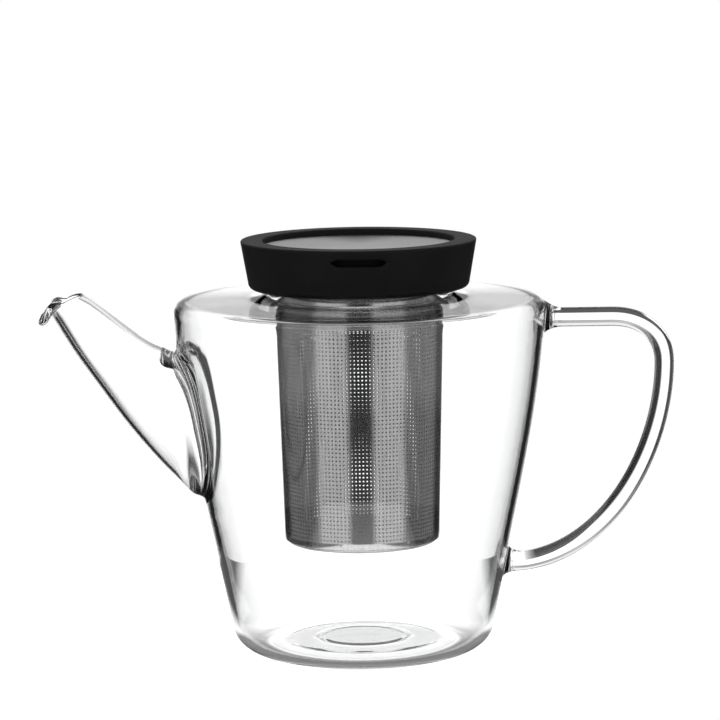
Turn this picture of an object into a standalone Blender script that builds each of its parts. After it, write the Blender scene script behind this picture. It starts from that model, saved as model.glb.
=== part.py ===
"""Glass infuser teapot: a blown vessel with a welded spout and handle, a hanging strainer and a push-in lid.

Metres, +Z up. The origin is on the vessel's axis, on the surface that the pot stands on.
The spout points to -X and the handle to +X.
"""

import math

import bmesh
import bpy
from mathutils import Matrix, Vector

# Clearance between pieces that touch on the real teapot.
GAP = 0.0003

# Vessel
WALL = 0.0023
BASE_CORNER_RADIUS = 0.0108
FOOT_ANGLE = -9.65  # degrees, where the foot's arc runs on into the wall
BASE_RING_RADIUS = 0.03575
BASE_RING_INNER_RADIUS = 0.0310
PUNT_RADIUS = 0.0155
PUNT_RISE = 0.0018
PUNT_STEP = 0.0006
PUNT_SLOPE = 0.0040
WALL_FOOT = (0.0464, 0.0090)
WALL_LOWER_HANDLE = (0.0529, 0.0472)
WALL_UPPER_HANDLE = (0.0628, 0.0801)
SHOULDER_RADIUS = 0.0650
SHOULDER_CORNER_HEIGHT = 0.1204
SHOULDER_CORNER_RADIUS = 0.0028
SHOULDER_END_ANGLE = 87.0
INNER_CORNER_RADIUS = 0.0015
NECK_ROOT_HEIGHT = 0.1246
NECK_ROOT_RADIUS = 0.0024
THROAT_RADIUS = 0.0030
NECK_INNER_RADIUS = 0.0298
NECK_OUTER_RADIUS = 0.0320
NECK_TOP = 0.1290

# Spout: (upper edge x, z), (lower edge x, z), half width, from the root inside the wall to the mouth
SPOUT_STATIONS = (
    ((-0.0540, 0.1006), (-0.0470, 0.0486), 0.0290),
    ((-0.0660, 0.1058), (-0.0590, 0.0556), 0.0270),
    ((-0.0735, 0.1095), (-0.0700, 0.0670), 0.0200),
    ((-0.0812, 0.1154), (-0.0812, 0.0803), 0.0150),
    ((-0.0888, 0.1213), (-0.0915, 0.0946), 0.0113),
    ((-0.0940, 0.1251), (-0.1004, 0.1073), 0.0085),
    ((-0.0967, 0.1270), (-0.1076, 0.1178), 0.0072),
    ((-0.0969, 0.1274), (-0.1124, 0.1172), 0.0076),
)
SPOUT_WALL = 0.0013
SPOUT_SEGMENTS = 24

# Opening in the wall under the spout: an oval, cut along X between two distances from the axis
OPENING_HEIGHT = 0.0835
OPENING_HALF_WIDTH = 0.0120
OPENING_HALF_HEIGHT = 0.0190
OPENING_NEAR = 0.0400
OPENING_FAR = 0.0720

# Handle
ROD_RADIUS = 0.0034
WELD_RADIUS = 0.0068
WELD_REACH = 0.0030  # how far the rod runs straight on each side of a weld
HANDLE_UPPER_WELD = (0.0628, 0.1162)
HANDLE_UPPER_NECK = (0.0705, 0.1162)
HANDLE_UPPER_RUN = (0.0883, 0.1162)
HANDLE_OUTER = (0.1067, 0.1002)
HANDLE_LOWER_WELD = (0.0480, 0.0288)
HANDLE_LOWER_NECK = (0.0580, 0.0298)
HANDLE_LOWER_SLOPE = 0.0005
HANDLE_LOWER_PULL = (0.0890, 0.0348)
HANDLE_OUTER_PULLS = (0.0095, 0.0289)
HANDLE_CORNER_PULL = 0.0111
HANDLE_RUN_PULL = 0.0050

# Strainer
STRAINER_TOP_RADIUS = 0.02935
STRAINER_NECK_RADIUS = 0.0288
STRAINER_SHOULDER_HEIGHT = 0.1180
STRAINER_STEP = 0.0030
STRAINER_BOTTOM_RADIUS = 0.0272
STRAINER_BOTTOM = 0.0384
STRAINER_SHEET = 0.0005
STRAINER_CUP_DEPTH = 0.0034
CUP_BEND_RADIUS = 0.0011
FLANGE_RADIUS = 0.0358
FLANGE_SHEET = 0.0006
FLANGE_ROLL_RADIUS = 0.0007
COLLAR_DEPTH = 0.0085
COLLAR_BEND_RADIUS = 0.0012

# Lid
LID_TOP = 0.1447
LID_BOTTOM = 0.1278
LID_TOP_RADIUS = 0.0412
LID_BOTTOM_RADIUS = 0.03865
LID_EDGE_RADIUS = 0.0007
LID_HEM_RADIUS = 0.0021
LID_SKIRT = 0.0024
LID_RIM_THICKNESS = 0.0016
RECESS_RADIUS = 0.0336
RECESS_DEPTH = 0.0031
PLATE_THICKNESS = 0.0020
LANDING_RING_RADII = (0.0322, 0.0352)
DISC_THICKNESS = 0.0008
DISC_CHAMFER = 0.0002
SLOT_WIDTH = 0.0193
SLOT_HEIGHT = 0.0026
SLOT_CENTRE = 0.1404
SLOT_POINT = 0.0021  # length of each pointed end
SLOT_FLOOR_CLEARANCE = 0.0012
SLOT_OVERSHOOT = 0.0040
PLUG_RADIUS = 0.0264
PLUG_DEPTH = 0.0150
PLUG_SHEET = 0.0010
PLUG_BEND_RADIUS = 0.0010
PLUG_GROOVE_DEPTH = 0.0012
SEAL_RADIUS = 0.0271
SEAL_HEIGHT = 0.0036
SEAL_LIFT = 0.0032  # from the plug's foot to the seal's foot
SEAL_WAIST_DEPTH = 0.0005

# Facets round the turned pieces
VESSEL_SEGMENTS = 48
STRAINER_SEGMENTS = 40
LID_SEGMENTS = 48


def polar(centre, radius, angle):
    """The point at an angle in degrees on a circle in the (radius, height) plane."""
    turn = math.radians(angle)
    return (centre[0] + radius * math.cos(turn), centre[1] + radius * math.sin(turn))


def arc(centre, radius, start, end, steps):
    """Points along an arc, both ends included."""
    return [polar(centre, radius, start + (end - start) * i / steps) for i in range(steps + 1)]


def bezier(start, pull_start, pull_end, end, steps):
    """Points along a cubic curve, both ends included."""
    points = []
    for i in range(steps + 1):
        t = i / steps
        weights = ((1 - t) ** 3, 3 * t * (1 - t) ** 2, 3 * t * t * (1 - t), t**3)
        corners = (start, pull_start, pull_end, end)
        points.append(tuple(sum(w * c[axis] for w, c in zip(weights, corners)) for axis in (0, 1)))
    return points


def offset(points, distance):
    """The line through points moved sideways, to the left of its direction when distance is positive."""
    moved = []
    for i, point in enumerate(points):
        before = Vector(points[max(i - 1, 0)])
        after = Vector(points[min(i + 1, len(points) - 1)])
        along = (after - before).normalized()
        moved.append((point[0] - along.y * distance, point[1] + along.x * distance))
    return moved


def material(name, color, roughness, metallic=0.0, transmission=0.0):
    """A Principled material of one finish."""
    made = bpy.data.materials.new(name)
    made.use_nodes = True
    shader = made.node_tree.nodes["Principled BSDF"]
    shader.inputs["Base Color"].default_value = (*color, 1.0)
    shader.inputs["Roughness"].default_value = roughness
    shader.inputs["Metallic"].default_value = metallic
    shader.inputs["Transmission Weight"].default_value = transmission
    return made


def add_object(name, mesh, finish=None):
    """Links a mesh to the scene as an object, with smooth shading and sharp edges kept."""
    made = bpy.data.objects.new(name, mesh)
    bpy.context.scene.collection.objects.link(made)
    if finish:
        mesh.materials.append(finish)
    mesh.shade_smooth()
    mesh.set_sharp_from_angle(angle=math.radians(35))
    return made


def turned(name, profile, segments, finish=None):
    """A piece turned about the Z axis from a closed outline of (radius, height) points."""
    shape = bmesh.new()
    corners = [shape.verts.new((radius, 0.0, height)) for radius, height in profile]
    loop = [shape.edges.new((a, b)) for a, b in zip(corners, corners[1:] + corners[:1])]
    on_axis = [edge for edge in loop if all(abs(v.co.x) < 1e-7 for v in edge.verts)]
    bmesh.ops.delete(shape, geom=on_axis, context="EDGES")
    bmesh.ops.spin(
        shape,
        geom=shape.verts[:] + shape.edges[:],
        axis=(0, 0, 1),
        cent=(0, 0, 0),
        angle=math.tau,
        steps=segments,
        use_merge=True,
    )
    bmesh.ops.remove_doubles(shape, verts=shape.verts, dist=1e-6)
    bmesh.ops.recalc_face_normals(shape, faces=shape.faces)
    mesh = bpy.data.meshes.new(name)
    shape.to_mesh(mesh)
    shape.free()
    return add_object(name, mesh, finish)


def lofted(name, rings, closed_ends, finish=None):
    """A skin over rings of points, filled at both ends or, without closed_ends, joined last to first."""
    shape = bmesh.new()
    loops = [[shape.verts.new(point) for point in ring] for ring in rings]
    pairs = list(zip(loops, loops[1:]))
    if not closed_ends:
        pairs.append((loops[-1], loops[0]))
    for near, far in pairs:
        for i in range(len(near)):
            j = (i + 1) % len(near)
            shape.faces.new((near[i], near[j], far[j], far[i]))
    if closed_ends:
        shape.faces.new(loops[0][::-1])
        shape.faces.new(loops[-1])
    bmesh.ops.recalc_face_normals(shape, faces=shape.faces)
    mesh = bpy.data.meshes.new(name)
    shape.to_mesh(mesh)
    shape.free()
    return add_object(name, mesh, finish)


def cut(piece, cutter):
    """Takes the cutter's shape out of the piece, and hides the cutter."""
    cutter.hide_render = True
    cutter.display_type = "WIRE"
    boolean = piece.modifiers.new(f"cut_{cutter.name}", "BOOLEAN")
    boolean.operation = "DIFFERENCE"
    boolean.solver = "EXACT"
    boolean.object = cutter


def wall_curve():
    """The outside of the side wall, from the foot up to the shoulder's corner."""
    shoulder = (SHOULDER_RADIUS, SHOULDER_CORNER_HEIGHT)
    return bezier(WALL_FOOT, WALL_LOWER_HANDLE, WALL_UPPER_HANDLE, shoulder, 10)


def vessel_outline():
    """The outside of the vessel from the foot's ring up to the neck's root."""
    corner = (BASE_RING_RADIUS, BASE_CORNER_RADIUS)
    foot = arc(corner, BASE_CORNER_RADIUS, -90, FOOT_ANGLE, 5)[:-1]
    turn = (SHOULDER_RADIUS - SHOULDER_CORNER_RADIUS, SHOULDER_CORNER_HEIGHT)
    shoulder = arc(turn, SHOULDER_CORNER_RADIUS, 0, SHOULDER_END_ANGLE, 3)[1:]
    root = (NECK_OUTER_RADIUS + NECK_ROOT_RADIUS, NECK_ROOT_HEIGHT + NECK_ROOT_RADIUS)
    return foot + wall_curve() + shoulder + arc(root, NECK_ROOT_RADIUS, -90, -180, 3)


def make_body(finish):
    """The blown vessel, of one thickness: shallow punt, tapered wall, flat shoulder and short neck."""
    lip_radius = (NECK_OUTER_RADIUS - NECK_INNER_RADIUS) / 2
    lip = arc((NECK_INNER_RADIUS + lip_radius, NECK_TOP - lip_radius), lip_radius, 0, 180, 4)
    under_shoulder = SHOULDER_CORNER_HEIGHT + SHOULDER_CORNER_RADIUS - WALL
    under_neck = NECK_ROOT_HEIGHT - WALL
    throat_centre = (NECK_INNER_RADIUS + THROAT_RADIUS, under_neck + THROAT_RADIUS)
    throat = arc(throat_centre, THROAT_RADIUS, 180, 270, 3)
    inner_wall = offset(wall_curve(), WALL)
    turn = INNER_CORNER_RADIUS
    inner_corner = arc((inner_wall[-1][0] - turn, under_shoulder - turn), turn, 90, 0, 2)
    inner_wall = [point for point in inner_wall if point[1] < under_shoulder - turn]
    corner = (BASE_RING_RADIUS, BASE_CORNER_RADIUS)
    floor_corner = arc(corner, BASE_CORNER_RADIUS - WALL, FOOT_ANGLE, -90, 5)
    underside = [
        (0.0, PUNT_RISE),
        (PUNT_RADIUS, PUNT_RISE),
        (PUNT_RADIUS + PUNT_STEP, PUNT_RISE - PUNT_STEP),
        (BASE_RING_INNER_RADIUS - PUNT_SLOPE, PUNT_RISE - PUNT_STEP),
        (BASE_RING_INNER_RADIUS, 0.0),
    ]
    floor = [(radius, height + WALL) for radius, height in underside[::-1]]
    inside = inner_corner + inner_wall[:0:-1] + floor_corner + floor
    outline = vessel_outline() + lip + throat + inside + underside
    return turned("glass_body", outline, VESSEL_SEGMENTS, finish)


def spout_ring(station, inset=0.0):
    """Points round one cross-section of the spout: an oval between its upper and lower edge."""
    upper = Vector((station[0][0], 0.0, station[0][1]))
    lower = Vector((station[1][0], 0.0, station[1][1]))
    centre = (upper + lower) / 2
    along = (upper - lower).normalized() * ((upper - lower).length / 2 - inset)
    across = Vector((0.0, station[2] - inset, 0.0))
    turns = [math.tau * i / SPOUT_SEGMENTS for i in range(SPOUT_SEGMENTS)]
    return [centre + along * math.cos(turn) + across * math.sin(turn) for turn in turns]


def make_spout(finish):
    """The spout's tube, open at the wall and at the mouth, with its drip lip."""
    outside = [spout_ring(station) for station in SPOUT_STATIONS]
    inside = [spout_ring(station, SPOUT_WALL) for station in SPOUT_STATIONS]
    return lofted("glass_spout", outside + inside[::-1], False, finish)


def make_spout_opening():
    """The oval bar that opens the wall under the spout."""
    turns = [math.tau * i / SPOUT_SEGMENTS for i in range(SPOUT_SEGMENTS)]
    outline = [
        (OPENING_HALF_WIDTH * math.cos(turn), OPENING_HEIGHT + OPENING_HALF_HEIGHT * math.sin(turn))
        for turn in turns
    ]
    rings = [[(-reach, y, z) for y, z in outline] for reach in (OPENING_NEAR, OPENING_FAR)]
    return lofted("spout_opening", rings, True)


def make_weld_clearance():
    """The vessel's outside as a solid, one gap larger, which trims what is welded to it."""
    outline = offset(vessel_outline(), -GAP)
    top = NECK_TOP
    outline += [(outline[-1][0], top), (0.0, top), (0.0, outline[0][1])]
    return turned("weld_clearance", outline, VESSEL_SEGMENTS)


def make_handle(finish):
    """The bent rod of the handle, flared where it is welded to the wall."""
    curve = bpy.data.curves.new("handle_line", "CURVE")
    curve.dimensions = "3D"
    curve.bevel_depth = ROD_RADIUS
    curve.bevel_resolution = 3
    curve.resolution_u = 8
    curve.use_fill_caps = True
    line = curve.splines.new("BEZIER")
    corner = HANDLE_CORNER_PULL
    above, below = HANDLE_OUTER_PULLS
    flare = WELD_RADIUS / ROD_RADIUS
    reach = WELD_REACH
    slope = HANDLE_LOWER_SLOPE
    lower_pull = [pull - neck for pull, neck in zip(HANDLE_LOWER_PULL, HANDLE_LOWER_NECK)]
    knots = (
        (HANDLE_UPPER_WELD, (-reach, 0.0), (reach, 0.0), flare),
        (HANDLE_UPPER_NECK, (-reach, 0.0), (reach, 0.0), 1.0),
        (HANDLE_UPPER_RUN, (-HANDLE_RUN_PULL, 0.0), (corner, 0.0), 1.0),
        (HANDLE_OUTER, (0.0, above), (0.0, -below), 1.0),
        (HANDLE_LOWER_NECK, lower_pull, (-reach, -slope), 1.0),
        (HANDLE_LOWER_WELD, (reach, slope), (-reach, -slope), flare),
    )
    line.bezier_points.add(len(knots) - 1)
    for point, (place, before, after, radius) in zip(line.bezier_points, knots):
        point.co = (place[0], 0.0, place[1])
        point.handle_left = (place[0] + before[0], 0.0, place[1] + before[1])
        point.handle_right = (place[0] + after[0], 0.0, place[1] + after[1])
        point.radius = radius
    guide = bpy.data.objects.new("handle_guide", curve)
    bpy.context.scene.collection.objects.link(guide)
    bpy.context.view_layer.update()
    mesh = bpy.data.meshes.new_from_object(guide, depsgraph=bpy.context.evaluated_depsgraph_get())
    bpy.data.objects.remove(guide)
    shape = bmesh.new()
    shape.from_mesh(mesh)
    bmesh.ops.remove_doubles(shape, verts=shape.verts, dist=1e-6)
    bmesh.ops.recalc_face_normals(shape, faces=shape.faces)
    shape.to_mesh(mesh)
    shape.free()
    mesh.name = "glass_handle"
    mesh.materials.clear()
    return add_object("glass_handle", mesh, finish)


def make_strainer(finish):
    """The strainer: a tapered sheet tube, a pressed cup in its bottom and a rolled flange on its top."""
    seat = NECK_TOP + GAP
    tube_top = NECK_TOP
    tube_foot = STRAINER_BOTTOM + CUP_BEND_RADIUS
    inner_top = STRAINER_NECK_RADIUS - STRAINER_SHEET
    inner_foot = STRAINER_BOTTOM_RADIUS - STRAINER_SHEET
    shoulder = STRAINER_SHOULDER_HEIGHT
    step = STRAINER_STEP
    wall = turned(
        "strainer_wall",
        [
            (STRAINER_BOTTOM_RADIUS, tube_foot),
            (STRAINER_TOP_RADIUS, shoulder),
            (STRAINER_NECK_RADIUS, shoulder + step),
            (STRAINER_NECK_RADIUS, tube_top),
            (inner_top, tube_top),
            (inner_top, shoulder + step),
            (STRAINER_TOP_RADIUS - STRAINER_SHEET, shoulder),
            (inner_foot, tube_foot),
        ],
        STRAINER_SEGMENTS,
        finish,
    )
    cup = inner_foot - GAP
    bend = CUP_BEND_RADIUS
    cup_bend = (cup - bend, STRAINER_BOTTOM + bend)
    base = turned(
        "strainer_base",
        [
            (0.0, STRAINER_BOTTOM),
            *arc(cup_bend, bend, -90, 0, 3),
            (cup, STRAINER_BOTTOM + STRAINER_CUP_DEPTH),
            (cup - STRAINER_SHEET, STRAINER_BOTTOM + STRAINER_CUP_DEPTH),
            *arc(cup_bend, bend - STRAINER_SHEET, 0, -90, 2),
            (0.0, STRAINER_BOTTOM + STRAINER_SHEET),
        ],
        STRAINER_SEGMENTS,
        finish,
    )
    collar = inner_top - GAP
    roll = (FLANGE_RADIUS - FLANGE_ROLL_RADIUS, seat + FLANGE_SHEET - FLANGE_ROLL_RADIUS)
    bend = COLLAR_BEND_RADIUS
    collar_bend = (collar - FLANGE_SHEET + bend, seat + FLANGE_SHEET - bend)
    rim = turned(
        "strainer_rim",
        [
            (collar - FLANGE_SHEET, seat - COLLAR_DEPTH),
            (collar, seat - COLLAR_DEPTH),
            (collar, seat),
            (roll[0], seat),
            *arc(roll, FLANGE_ROLL_RADIUS, 0, 90, 3),
            *arc(collar_bend, bend, 90, 180, 3),
        ],
        STRAINER_SEGMENTS,
        finish,
    )
    return wall, base, rim


def make_slot_cutter():
    """The lens-ended bar that opens the slot in the front of the lid's skirt."""
    half_width = SLOT_WIDTH / 2
    half_height = SLOT_HEIGHT / 2
    shoulder = half_width - SLOT_POINT
    outline = [(-half_width, 0.0), (-shoulder, half_height), (shoulder, half_height)]
    outline += [(half_width, 0.0), (shoulder, -half_height), (-shoulder, -half_height)]
    near = -LID_TOP_RADIUS - SLOT_OVERSHOOT
    far = -LANDING_RING_RADII[1] - SLOT_FLOOR_CLEARANCE
    rings = [[(x, y, SLOT_CENTRE + z) for x, z in outline] for y in (near, far)]
    return lofted("slot_cutter", rings, True)


def make_lid(black, steel, silicone):
    """The lid: a moulded shell with a slot, a disc set in its top, and a plug with a seal under it."""
    plate_top = LID_TOP - RECESS_DEPTH
    plate_bottom = plate_top - PLATE_THICKNESS
    ring_foot = NECK_TOP + GAP + FLANGE_SHEET + GAP
    rim_underside = LID_TOP - LID_RIM_THICKNESS
    slope = (LID_TOP_RADIUS - LID_BOTTOM_RADIUS) / (LID_TOP - LID_BOTTOM)
    skirt_top = LID_BOTTOM_RADIUS - LID_SKIRT + slope * (rim_underside - LID_BOTTOM)
    hem = (LID_BOTTOM_RADIUS - LID_HEM_RADIUS, LID_BOTTOM + LID_HEM_RADIUS)
    outer_edge = (LID_TOP_RADIUS - LID_EDGE_RADIUS, LID_TOP - LID_EDGE_RADIUS)
    inner_edge = (RECESS_RADIUS + LID_EDGE_RADIUS, LID_TOP - LID_EDGE_RADIUS)
    ring_inner, ring_outer = LANDING_RING_RADII
    shell = turned(
        "lid_shell",
        [
            (0.0, plate_bottom),
            (ring_inner, plate_bottom),
            (ring_inner, ring_foot),
            (ring_outer, ring_foot),
            (ring_outer, rim_underside),
            (skirt_top, rim_underside),
            (LID_BOTTOM_RADIUS - LID_SKIRT, LID_BOTTOM),
            *arc(hem, LID_HEM_RADIUS, -90, 0, 3),
            *arc(outer_edge, LID_EDGE_RADIUS, 0, 90, 2),
            *arc(inner_edge, LID_EDGE_RADIUS, 90, 180, 2),
            (RECESS_RADIUS, plate_top),
            (0.0, plate_top),
        ],
        LID_SEGMENTS,
        black,
    )
    cut(shell, make_slot_cutter())
    disc_radius = RECESS_RADIUS - GAP
    disc_foot = plate_top + GAP
    disc_top = disc_foot + DISC_THICKNESS
    disc = turned(
        "lid_top_disc",
        [
            (0.0, disc_foot),
            (disc_radius, disc_foot),
            (disc_radius, disc_top - DISC_CHAMFER),
            (disc_radius - DISC_CHAMFER, disc_top),
            (0.0, disc_top),
        ],
        LID_SEGMENTS,
        steel,
    )
    plug_top = plate_bottom - GAP
    plug_foot = plug_top - PLUG_DEPTH
    seal_foot = plug_foot + SEAL_LIFT
    seal_top = seal_foot + SEAL_HEIGHT
    groove = PLUG_RADIUS - PLUG_GROOVE_DEPTH
    inside = groove - PLUG_SHEET
    bend = PLUG_BEND_RADIUS
    plug = turned(
        "lid_plug",
        [
            (0.0, plug_foot),
            *arc((PLUG_RADIUS - bend, plug_foot + bend), bend, -90, 0, 2),
            (PLUG_RADIUS, seal_foot - GAP),
            (groove, seal_foot - GAP),
            (groove, seal_top + GAP),
            (PLUG_RADIUS, seal_top + GAP),
            (PLUG_RADIUS, plug_top),
            (inside, plug_top),
            (inside, plug_foot + PLUG_SHEET),
            (0.0, plug_foot + PLUG_SHEET),
        ],
        STRAINER_SEGMENTS,
        steel,
    )
    waist = SEAL_RADIUS - SEAL_WAIST_DEPTH
    seal = turned(
        "lid_seal_ring",
        [
            (groove + GAP, seal_foot),
            (SEAL_RADIUS, seal_foot),
            (SEAL_RADIUS, seal_foot + SEAL_HEIGHT * 0.3),
            (waist, seal_foot + SEAL_HEIGHT * 0.5),
            (SEAL_RADIUS, seal_foot + SEAL_HEIGHT * 0.7),
            (SEAL_RADIUS, seal_top),
            (groove + GAP, seal_top),
        ],
        STRAINER_SEGMENTS,
        silicone,
    )
    return shell, disc, plug, seal


def hang_on(pieces, name, height):
    """Parents pieces to an empty on the vessel's axis, which is the axis that they lift along."""
    carrier = bpy.data.objects.new(name, None)
    carrier.location = (0.0, 0.0, height)
    bpy.context.scene.collection.objects.link(carrier)
    for piece in pieces:
        piece.parent = carrier
        piece.matrix_parent_inverse = Matrix.Translation((0.0, 0.0, -height))
    return carrier


def main():
    for leftover in list(bpy.data.objects):
        bpy.data.objects.remove(leftover)

    glass = material("borosilicate_glass", (0.97, 0.98, 0.98), 0.02, transmission=1.0)
    strainer_steel = material("strainer_steel", (0.62, 0.62, 0.62), 0.28, metallic=1.0)
    disc_steel = material("brushed_steel", (0.60, 0.60, 0.60), 0.34, metallic=1.0)
    black = material("black_lid", (0.012, 0.012, 0.013), 0.55)
    silicone = material("silicone", (0.30, 0.30, 0.30), 0.60)

    clearance = make_weld_clearance()
    body = make_body(glass)
    spout = make_spout(glass)
    handle = make_handle(glass)
    cut(body, make_spout_opening())
    cut(spout, clearance)
    cut(handle, clearance)

    strainer_lift = hang_on(make_strainer(strainer_steel), "strainer_lift", NECK_TOP)
    lid_lift = hang_on(make_lid(black, disc_steel, silicone), "lid_lift", NECK_TOP)
    lid_lift.parent = strainer_lift
    lid_lift.matrix_parent_inverse = Matrix.Translation((0.0, 0.0, -NECK_TOP))


main()
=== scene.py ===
"""Looks of a glass infuser teapot: blown glass pot, drilled steel strainer, black lid with a brushed disc.

Metres, +Z up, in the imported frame: the pot stands on Z = 0, its spout points to -X and its handle to +X.
"""

import logging
import math
from dataclasses import dataclass
from enum import Enum

import bmesh
import bpy
import numpy as np
from mathutils import Matrix, Vector


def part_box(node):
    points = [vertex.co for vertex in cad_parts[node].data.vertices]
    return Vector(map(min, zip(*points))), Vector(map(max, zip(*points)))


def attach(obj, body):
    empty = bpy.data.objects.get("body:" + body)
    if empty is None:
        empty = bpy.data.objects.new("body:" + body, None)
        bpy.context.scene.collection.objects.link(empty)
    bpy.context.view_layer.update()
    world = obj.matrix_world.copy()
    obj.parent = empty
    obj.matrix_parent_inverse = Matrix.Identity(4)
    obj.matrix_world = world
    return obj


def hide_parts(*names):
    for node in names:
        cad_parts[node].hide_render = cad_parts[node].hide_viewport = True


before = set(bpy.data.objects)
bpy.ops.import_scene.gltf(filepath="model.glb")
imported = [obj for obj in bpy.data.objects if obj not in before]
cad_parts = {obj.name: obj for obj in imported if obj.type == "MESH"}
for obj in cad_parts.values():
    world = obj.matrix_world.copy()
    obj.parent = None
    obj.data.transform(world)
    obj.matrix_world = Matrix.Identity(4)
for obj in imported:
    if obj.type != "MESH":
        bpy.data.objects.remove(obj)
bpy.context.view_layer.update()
LOG = logging.getLogger("teapot")

MM = 0.001

Array = np.ndarray
Finish = bpy.types.Material
Piece = bpy.types.Object
Socket = bpy.types.NodeSocket


class Body(Enum):
    """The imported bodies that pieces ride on."""

    POT = "pot"
    STRAINER = "strainer"
    LID = "lid"


class Slot(Enum):
    """The record's material slots."""

    GLASS = "glass"
    STRAINER_STEEL = "strainer_steel"
    BLACK_LID = "black_lid"
    BRUSHED_STEEL = "brushed_steel"
    SILICONE = "silicone"


# ---- lines and rings


def smooth_step(low: float, high: float, value: Array | float) -> Array:
    """A smooth rise from 0 to 1."""
    t = np.clip((value - low) / (high - low), 0.0, 1.0)
    return t * t * (3 - 2 * t)


def unit(vectors: Array) -> Array:
    """Vectors scaled to length 1 along their last axis."""
    return vectors / np.maximum(length(vectors), 1e-12)


def length(vectors: Array) -> Array:
    """The length of each vector, on a last axis of its own."""
    return np.linalg.norm(vectors, axis=-1, keepdims=True)


def circle(count: int) -> Array:
    """The angles of evenly spaced places round a circle."""
    return np.arange(count) * math.tau / count


def polar(radius: Array, angle: Array, height: Array) -> Array:
    """Points at radii, angles about the Z axis and heights."""
    return np.stack([radius * np.cos(angle), radius * np.sin(angle), height], -1)


def walked(line: Array) -> Array:
    """How far along a line each of its points lies, from 0."""
    return np.concatenate([[0.0], np.cumsum(np.linalg.norm(np.diff(line, axis=0), axis=-1))])


def arc(centre: tuple[float, float], radius: float, start: float, end: float, steps: int) -> Array:
    """Points along an arc, both ends included."""
    turn = np.radians(np.linspace(start, end, steps + 1))
    return np.stack([centre[0] + radius * np.cos(turn), centre[1] + radius * np.sin(turn)], -1)


def bezier(corners: tuple, steps: int) -> Array:
    """Points along a cubic curve, both ends included."""
    t = np.linspace(0.0, 1.0, steps + 1)[:, None]
    start, pull_start, pull_end, end = (np.array(corner, float) for corner in corners)
    return (
        (1 - t) ** 3 * start + 3 * t * (1 - t) ** 2 * pull_start + 3 * t * t * (1 - t) * pull_end + t**3 * end
    )


def straight(start: Array | tuple, end: Array | tuple, steps: int) -> Array:
    """Points along a straight line, both ends included."""
    return np.linspace(start, end, steps + 1)


def chain(*lines: Array) -> Array:
    """Lines joined end to start, with each shared point kept once."""
    return np.concatenate([line[:-1] for line in lines[:-1]] + [lines[-1]])


def chain_to(before: Array, line: Array) -> Array:
    """The line with its first point moved onto the end of the line before it."""
    return np.concatenate([before[-1:], line[1:]])


def rows_of(lines: tuple[Array, ...], fineness: int) -> list[slice]:
    """The grid rows of each line, both ends included, with `fineness` points for each row."""
    starts = np.cumsum([0] + [(len(line) - 1) // fineness for line in lines]).tolist()
    return [slice(start, end + 1) for start, end in zip(starts, starts[1:])]


def cubic(t: Array, start: Array, start_pull: Array, end: Array, end_pull: Array) -> Array:
    """The places at t on the cubic curves between two rings with a pull at each end."""
    return (
        (2 * t**3 - 3 * t**2 + 1) * start
        + (t**3 - 2 * t**2 + t) * start_pull
        + (3 * t**2 - 2 * t**3) * end
        + (t**3 - t**2) * end_pull
    )


def hermite(start: Array, start_pull: Array, end: Array, end_pull: Array, steps: int) -> Array:
    """Rings that leave one ring in a given direction and reach another in a given direction."""
    return cubic((np.arange(1, steps) / steps)[:, None, None], start, start_pull, end, end_pull)


def through(stations: Array, rings: int) -> Array:
    """A smooth run of rings through the given ones.

    Args:
        stations: the rings to pass through, as (station, point, 3).
        rings: how many rings the run has.

    Returns:
        The rings of the run, as (ring, point, 3).
    """
    gaps = np.linalg.norm(np.diff(stations, axis=0), axis=-1).mean(axis=1)
    place = np.concatenate([[0.0], np.cumsum(gaps)])
    slope = np.gradient(stations, place, axis=0)
    at = np.linspace(0.0, place[-1], rings)
    low = np.clip(np.searchsorted(place, at, side="right") - 1, 0, len(place) - 2)
    width = (place[low + 1] - place[low])[:, None, None]
    t = (at - place[low])[:, None, None] / width
    return cubic(t, stations[low], slope[low] * width, stations[low + 1], slope[low + 1] * width)


def rounded(corners: list[tuple[float, float, float]], closed: bool = True) -> Array:
    """An outline with rounded corners and a support point on each side of a corner.

    Args:
        corners: (radius from the axis, height, corner radius) of each corner.
        closed: whether the outline is a loop; if not, its ends stay as they are.

    Returns:
        The outline's (radius, height) points.
    """
    points = []
    last = len(corners) - 1
    for i, (radius, height, bend) in enumerate(corners):
        here = np.array([radius, height])
        if bend <= 0 or (not closed and i in (0, last)):
            points.append(here)
            continue
        back = np.array(corners[i - 1][:2]) - here
        onward = np.array(corners[(i + 1) % len(corners)][:2]) - here
        to_back = unit(back)
        to_onward = unit(onward)
        half = math.acos(float(np.clip(to_back @ to_onward, -0.999999, 0.999999))) / 2
        room = 0.42 * min(np.linalg.norm(back), np.linalg.norm(onward))
        reach = min(bend / math.tan(half), room)
        bend = reach * math.tan(half)
        centre = here + unit(to_back + to_onward) * bend / math.sin(half)
        start = here + to_back * reach
        end = here + to_onward * reach
        support = min(0.15 * reach, 0.12 * MM)
        first = math.atan2(*(start - centre)[::-1])
        sweep = math.remainder(math.atan2(*(end - centre)[::-1]) - first, math.tau)
        steps = max(3, math.ceil(abs(sweep) / math.radians(11)))
        points.append(start + to_back * support)
        points.extend(arc(tuple(centre), bend, math.degrees(first), math.degrees(first + sweep), steps))
        points.append(end + to_onward * support)
    return np.array(points)


# ---- meshes


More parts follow.
